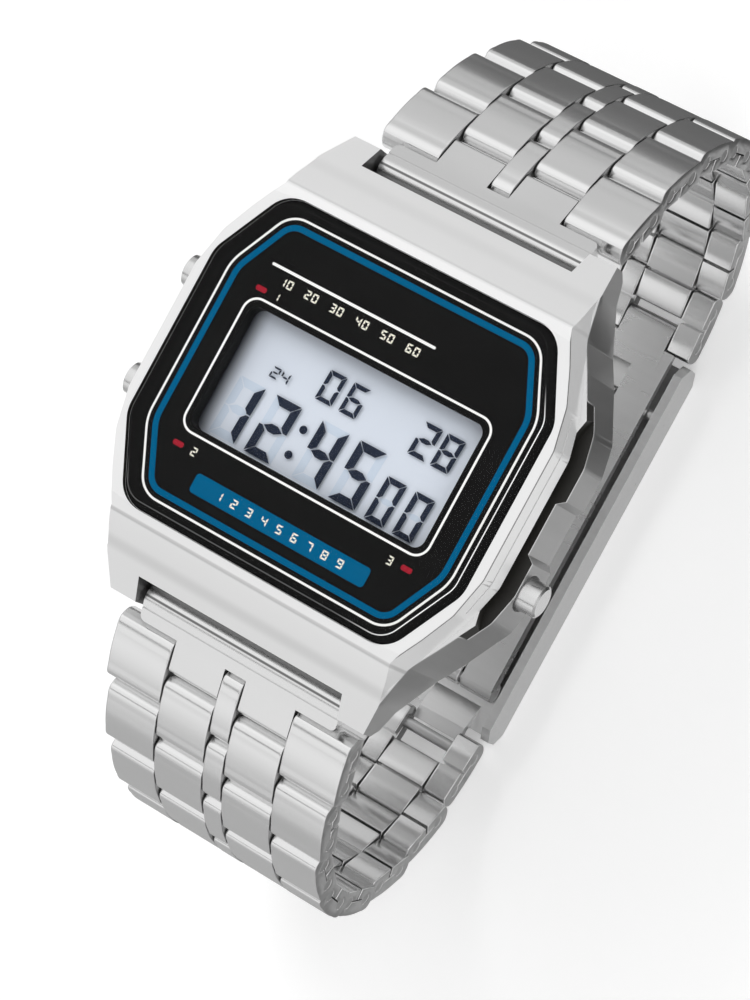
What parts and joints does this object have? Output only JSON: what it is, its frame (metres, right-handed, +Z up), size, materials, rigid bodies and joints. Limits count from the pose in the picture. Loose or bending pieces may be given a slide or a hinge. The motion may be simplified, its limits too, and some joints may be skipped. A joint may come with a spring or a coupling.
{
  "type": "digital wristwatch",
  "caption": "Digital wristwatch: octagonal steel case, segment display behind bevelled glass, push buttons, folded-link bracelet that opens at a folding clasp",
  "frame": {"origin": "on the surface the watch stands on, under the middle of the dial, at the flat underside of the closed clasp cover", "axes": "+X from nine to three o'clock, +Y from six to twelve o'clock, +Z up out of the dial"},
  "size_m": [0.0364, 0.0672, 0.0445],
  "materials": {
    "back_steel": "plain",
    "battery_can": "plain",
    "blade_steel": "plain",
    "button_steel": "plain",
    "buzzer_brass": "plain",
    "case_steel": "satin",
    "circuit_board": "plain",
    "clasp_steel": "plain",
    "contact_rubber": "plain",
    "dial_print": "glossy print behind glass",
    "display": "pale reflective display",
    "end_link_steel": "satin",
    "lamp": "plain",
    "light_guide": "plain",
    "link_steel": "satin",
    "module_plastic": "plain",
    "quartz_can": "plain",
    "screw_steel": "plain",
    "seal_rubber": "plain",
    "spring_bar_steel": "plain",
    "spring_steel": "plain",
    "watch_glass": "clear"
  },
  "bodies": {
    "watch_case": {"case": "case_steel", "glass": "watch_glass", "dial_plate": "dial_print", "lcd_panel": "display", "light_guide": "light_guide", "lamp": "lamp", "contact_strips": "contact_rubber", "module_frame": "module_plastic", "circuit_board": "circuit_board", "quartz_can": "quartz_can", "battery": "battery_can", "battery_clamp": "spring_steel", "case_back": "back_steel", "back_screws": "screw_steel", "back_gasket": "seal_rubber", "buzzer_disc": "buzzer_brass", "button_seals": "seal_rubber", "light_button_spring": "spring_steel", "mode_button_spring": "spring_steel", "start_button_spring": "spring_steel", "spring_bar_12": "spring_bar_steel", "spring_bar_6": "spring_bar_steel"},
    "clasp_cover": {"clasp_cover": "clasp_steel"},
    "middle_blade": {"middle_blade": "blade_steel"},
    "lower_blade": {"lower_blade": "blade_steel"},
    "light_button": {"light_button": "button_steel"},
    "mode_button": {"mode_button": "button_steel"},
    "start_button": {"start_button": "button_steel"},
    "end_link_12": {"end_link_12": "end_link_steel"},
    "end_link_6": {"end_link_6": "end_link_steel"},
    "link_12_01": {"link_12_01": "link_steel"},
    "link_12_02": {"link_12_02": "link_steel"},
    "link_12_03": {"link_12_03": "link_steel"},
    "link_12_04": {"link_12_04": "link_steel"},
    "link_12_05": {"link_12_05": "link_steel"},
    "link_12_06": {"link_12_06": "link_steel"},
    "link_12_07": {"link_12_07": "link_steel"},
    "link_12_08": {"link_12_08": "link_steel"},
    "link_12_09": {"link_12_09": "link_steel"},
    "link_12_10": {"link_12_10": "link_steel"},
    "link_12_11": {"link_12_11": "link_steel"},
    "link_12_12": {"link_12_12": "link_steel"},
    "link_12_13": {"link_12_13": "link_steel"},
    "link_12_14": {"link_12_14": "link_steel"},
    "link_12_15": {"link_12_15": "link_steel"},
    "link_6_01": {"link_6_01": "link_steel"},
    "link_6_02": {"link_6_02": "link_steel"},
    "link_6_03": {"link_6_03": "link_steel"},
    "link_6_04": {"link_6_04": "link_steel"},
    "link_6_05": {"link_6_05": "link_steel"},
    "link_6_06": {"link_6_06": "link_steel"},
    "link_6_07": {"link_6_07": "link_steel"},
    "link_6_08": {"link_6_08": "link_steel"},
    "link_6_09": {"link_6_09": "link_steel"},
    "link_6_10": {"link_6_10": "link_steel"},
    "link_6_11": {"link_6_11": "link_steel"},
    "link_6_12": {"link_6_12": "link_steel"},
    "link_6_13": {"link_6_13": "link_steel"},
    "link_6_14": {"link_6_14": "link_steel"},
    "link_6_15": {"link_6_15": "link_steel"}
  },
  "joints": [
    {"name": "bracelet_12_open", "type": "hinge", "parent": "watch_case", "child": "end_link_12", "pos_m": [0, 0.01775, 0.03751], "axis": [1, 0, 0], "range_deg": [0, 28]},
    {"name": "bracelet_6_open", "type": "hinge", "parent": "watch_case", "child": "end_link_6", "pos_m": [0, -0.01775, 0.03751], "axis": [-1, 0, 0], "range_deg": [0, 28]},
    {"name": "clasp_open", "type": "hinge", "parent": "lower_blade", "child": "middle_blade", "pos_m": [0, -0.0135, 0.0019], "axis": [-1, 0, 0], "range_deg": [0, 150]},
    {"name": "clasp_cover_turn", "type": "hinge", "parent": "middle_blade", "child": "clasp_cover", "pos_m": [0, 0.0125, 0.00175], "axis": [1, 0, 0], "range_deg": [0, 150]},
    {"name": "light_button_press", "type": "slide", "parent": "watch_case", "child": "light_button", "axis": [1, 0, 0], "range_m": [0, 0.0007], "stiffness_N_per_m": 1000, "springref_m": -0.0005, "deforming": ["light_button_spring"]},
    {"name": "mode_button_press", "type": "slide", "parent": "watch_case", "child": "mode_button", "axis": [1, 0, 0], "range_m": [0, 0.0007], "stiffness_N_per_m": 1000, "springref_m": -0.0005, "deforming": ["mode_button_spring"]},
    {"name": "start_button_press", "type": "slide", "parent": "watch_case", "child": "start_button", "axis": [-1, 0, 0], "range_m": [0, 0.0007], "stiffness_N_per_m": 1000, "springref_m": -0.0005, "deforming": ["start_button_spring"]},
    {"name": "link_12_01_fold", "type": "hinge", "parent": "end_link_12", "child": "link_12_01", "pos_m": [0, 0.02066, 0.03596], "axis": [1, 0, 0], "range_deg": [0, 4.25]},
    {"name": "link_12_02_fold", "type": "hinge", "parent": "link_12_01", "child": "link_12_02", "pos_m": [0, 0.0232, 0.03436], "axis": [1, 0, 0], "range_deg": [0, 6.14]},
    {"name": "link_12_03_fold", "type": "hinge", "parent": "link_12_02", "child": "link_12_03", "pos_m": [0, 0.02555, 0.0325], "axis": [1, 0, 0], "range_deg": [0, 7.14]},
    {"name": "link_12_04_fold", "type": "hinge", "parent": "link_12_03", "child": "link_12_04", "pos_m": [0, 0.02765, 0.03036], "axis": [1, 0, 0], "range_deg": [0, 7.88]},
    {"name": "link_12_05_fold", "type": "hinge", "parent": "link_12_04", "child": "link_12_05", "pos_m": [0, 0.02944, 0.02795], "axis": [1, 0, 0], "range_deg": [0, 8.48]},
    {"name": "link_12_06_fold", "type": "hinge", "parent": "link_12_05", "child": "link_12_06", "pos_m": [0, 0.03086, 0.0253], "axis": [1, 0, 0], "range_deg": [0, 8.99]},
    {"name": "link_12_07_fold", "type": "hinge", "parent": "link_12_06", "child": "link_12_07", "pos_m": [0, 0.03184, 0.02247], "axis": [1, 0, 0], "range_deg": [0, 9.44]},
    {"name": "link_12_08_fold", "type": "hinge", "parent": "link_12_07", "child": "link_12_08", "pos_m": [0, 0.03234, 0.01951], "axis": [1, 0, 0], "range_deg": [0, 9.84]},
    {"name": "link_12_09_fold", "type": "hinge", "parent": "link_12_08", "child": "link_12_09", "pos_m": [0, 0.03234, 0.01651], "axis": [1, 0, 0], "range_deg": [0, 10.2]},
    {"name": "link_12_10_fold", "type": "hinge", "parent": "link_12_09", "child": "link_12_10", "pos_m": [0, 0.0318, 0.01356], "axis": [1, 0, 0], "range_deg": [0, 10.54]},
    {"name": "link_12_11_fold", "type": "hinge", "parent": "link_12_10", "child": "link_12_11", "pos_m": [0, 0.03073, 0.01076], "axis": [1, 0, 0], "range_deg": [0, 10.85]},
    {"name": "link_12_12_fold", "type": "hinge", "parent": "link_12_11", "child": "link_12_12", "pos_m": [0, 0.02915, 0.0082], "axis": [1, 0, 0], "range_deg": [0, 11.14]},
    {"name": "link_12_13_fold", "type": "hinge", "parent": "link_12_12", "child": "link_12_13", "pos_m": [0, 0.02711, 0.00601], "axis": [1, 0, 0], "range_deg": [0, 11.41]},
    {"name": "link_12_14_fold", "type": "hinge", "parent": "link_12_13", "child": "link_12_14", "pos_m": [0, 0.02467, 0.00425], "axis": [1, 0, 0], "range_deg": [0, 11.67]},
    {"name": "link_12_15_fold", "type": "hinge", "parent": "link_12_14", "child": "link_12_15", "pos_m": [0, 0.02193, 0.00303], "axis": [1, 0, 0], "range_deg": [0, 11.91]},
    {"name": "lower_blade_fold", "type": "hinge", "parent": "link_12_15", "child": "lower_blade", "pos_m": [0, 0.019, 0.0024], "axis": [1, 0, 0], "range_deg": [0, 12.14]},
    {"name": "link_6_01_fold", "type": "hinge", "parent": "end_link_6", "child": "link_6_01", "pos_m": [0, -0.02066, 0.03596], "axis": [-1, 0, 0], "range_deg": [0, 4.25]},
    {"name": "link_6_02_fold", "type": "hinge", "parent": "link_6_01", "child": "link_6_02", "pos_m": [0, -0.0232, 0.03436], "axis": [-1, 0, 0], "range_deg": [0, 6.14]},
    {"name": "link_6_03_fold", "type": "hinge", "parent": "link_6_02", "child": "link_6_03", "pos_m": [0, -0.02555, 0.0325], "axis": [-1, 0, 0], "range_deg": [0, 7.14]},
    {"name": "link_6_04_fold", "type": "hinge", "parent": "link_6_03", "child": "link_6_04", "pos_m": [0, -0.02765, 0.03036], "axis": [-1, 0, 0], "range_deg": [0, 7.88]},
    {"name": "link_6_05_fold", "type": "hinge", "parent": "link_6_04", "child": "link_6_05", "pos_m": [0, -0.02944, 0.02795], "axis": [-1, 0, 0], "range_deg": [0, 8.48]},
    {"name": "link_6_06_fold", "type": "hinge", "parent": "link_6_05", "child": "link_6_06", "pos_m": [0, -0.03086, 0.0253], "axis": [-1, 0, 0], "range_deg": [0, 8.99]},
    {"name": "link_6_07_fold", "type": "hinge", "parent": "link_6_06", "child": "link_6_07", "pos_m": [0, -0.03184, 0.02247], "axis": [-1, 0, 0], "range_deg": [0, 9.44]},
    {"name": "link_6_08_fold", "type": "hinge", "parent": "link_6_07", "child": "link_6_08", "pos_m": [0, -0.03234, 0.01951], "axis": [-1, 0, 0], "range_deg": [0, 9.84]},
    {"name": "link_6_09_fold", "type": "hinge", "parent": "link_6_08", "child": "link_6_09", "pos_m": [0, -0.03234, 0.01651], "axis": [-1, 0, 0], "range_deg": [0, 10.2]},
    {"name": "link_6_10_fold", "type": "hinge", "parent": "link_6_09", "child": "link_6_10", "pos_m": [0, -0.0318, 0.01356], "axis": [-1, 0, 0], "range_deg": [0, 10.54]},
    {"name": "link_6_11_fold", "type": "hinge", "parent": "link_6_10", "child": "link_6_11", "pos_m": [0, -0.03073, 0.01076], "axis": [-1, 0, 0], "range_deg": [0, 10.85]},
    {"name": "link_6_12_fold", "type": "hinge", "parent": "link_6_11", "child": "link_6_12", "pos_m": [0, -0.02915, 0.0082], "axis": [-1, 0, 0], "range_deg": [0, 11.14]},
    {"name": "link_6_13_fold", "type": "hinge", "parent": "link_6_12", "child": "link_6_13", "pos_m": [0, -0.02711, 0.00601], "axis": [-1, 0, 0], "range_deg": [0, 11.41]},
    {"name": "link_6_14_fold", "type": "hinge", "parent": "link_6_13", "child": "link_6_14", "pos_m": [0, -0.02467, 0.00425], "axis": [-1, 0, 0], "range_deg": [0, 11.67]},
    {"name": "link_6_15_fold", "type": "hinge", "parent": "link_6_14", "child": "link_6_15", "pos_m": [0, -0.02193, 0.00303], "axis": [-1, 0, 0], "range_deg": [0, 11.91]}
  ],
  "couplings": [
    {"joint": "clasp_cover_turn", "follows": "clasp_open", "ratio": 1}
  ]
}
